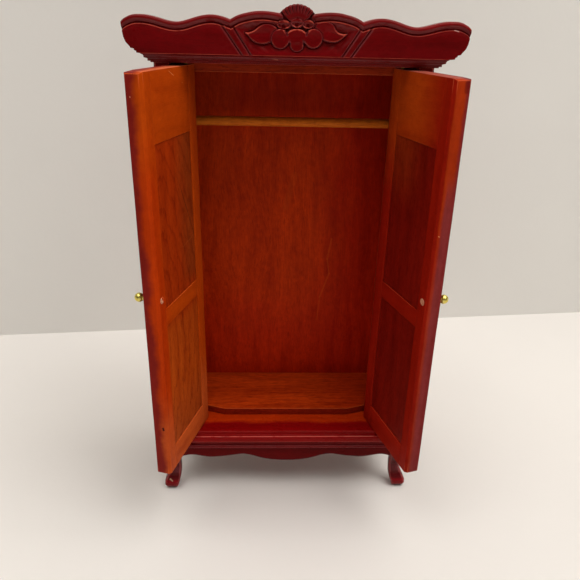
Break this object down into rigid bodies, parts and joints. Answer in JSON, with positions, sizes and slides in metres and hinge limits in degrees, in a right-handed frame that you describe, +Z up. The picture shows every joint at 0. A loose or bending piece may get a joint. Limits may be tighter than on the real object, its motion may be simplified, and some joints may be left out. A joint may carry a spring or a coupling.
{
  "type": "miniature wardrobe",
  "caption": "Dolls-house wardrobe in glossy red-stained wood: two panelled pin-hung doors, hanging rod, carved wavy pediment, scalloped apron and short cabriole feet.",
  "frame": {"origin": "centre of the footprint on the floor, with both doors open as at rest", "axes": "+Z up, +X to the right of someone facing the doors, +Y towards the back panel"},
  "size_m": [0.094, 0.06, 0.1666],
  "materials": {
    "mahogany_gloss": "deep red mahogany stain under a gloss lacquer",
    "door_frame_wood": "orange-brown stain under satin lacquer, red on the outside",
    "door_panel_wood": "olive-brown figured panel, satin lacquer",
    "back_veneer": "dark red-brown vertical grain, satin",
    "floor_wood": "brown-orange grain, satin",
    "inner_wood": "red-brown stain, satin",
    "rod_wood": "light amber turned dowel, satin",
    "brass": "polished brass"
  },
  "bodies": {
    "carcass": {"back_panel": "back_veneer", "base_board": "mahogany_gloss", "base_moulding_front": "mahogany_gloss", "base_moulding_left": "mahogany_gloss", "base_moulding_right": "mahogany_gloss", "cap_board": "mahogany_gloss", "crown_moulding_front": "mahogany_gloss", "crown_moulding_left": "mahogany_gloss", "crown_moulding_right": "mahogany_gloss", "door_stop_rail": "inner_wood", "floor_board": "floor_wood", "front_apron": "mahogany_gloss", "front_left_foot": "mahogany_gloss", "front_right_foot": "mahogany_gloss", "hanging_rod": "rod_wood", "left_apron": "mahogany_gloss", "left_jamb_strip": "inner_wood", "left_side_panel": "mahogany_gloss", "pediment_board": "mahogany_gloss", "rear_left_foot": "mahogany_gloss", "rear_right_foot": "mahogany_gloss", "right_apron": "mahogany_gloss", "right_jamb_strip": "inner_wood", "right_side_panel": "mahogany_gloss"},
    "left_door": {"left_door_bottom_rail": "door_frame_wood", "left_door_hinge_stile": "door_frame_wood", "left_door_knob": "brass", "left_door_lower_panel": "door_panel_wood", "left_door_meeting_stile": "door_frame_wood", "left_door_mid_rail": "door_frame_wood", "left_door_pivot_pins": "brass", "left_door_top_rail": "door_frame_wood", "left_door_upper_panel": "door_panel_wood"},
    "right_door": {"right_door_bottom_rail": "door_frame_wood", "right_door_hinge_stile": "door_frame_wood", "right_door_knob": "brass", "right_door_lower_panel": "door_panel_wood", "right_door_meeting_stile": "door_frame_wood", "right_door_mid_rail": "door_frame_wood", "right_door_pivot_pins": "brass", "right_door_top_rail": "door_frame_wood", "right_door_upper_panel": "door_panel_wood"}
  },
  "joints": [
    {"name": "left_door_hinge", "type": "hinge", "parent": "carcass", "child": "left_door", "pos_m": [-0.0315, 0.00039, 0.02649], "axis": [0, 0, 1], "range_deg": [-3.5, 106.5]},
    {"name": "right_door_hinge", "type": "hinge", "parent": "carcass", "child": "right_door", "pos_m": [0.0315, 0.00039, 0.02649], "axis": [0, 0, -1], "range_deg": [-3.5, 106.5]}
  ]
}
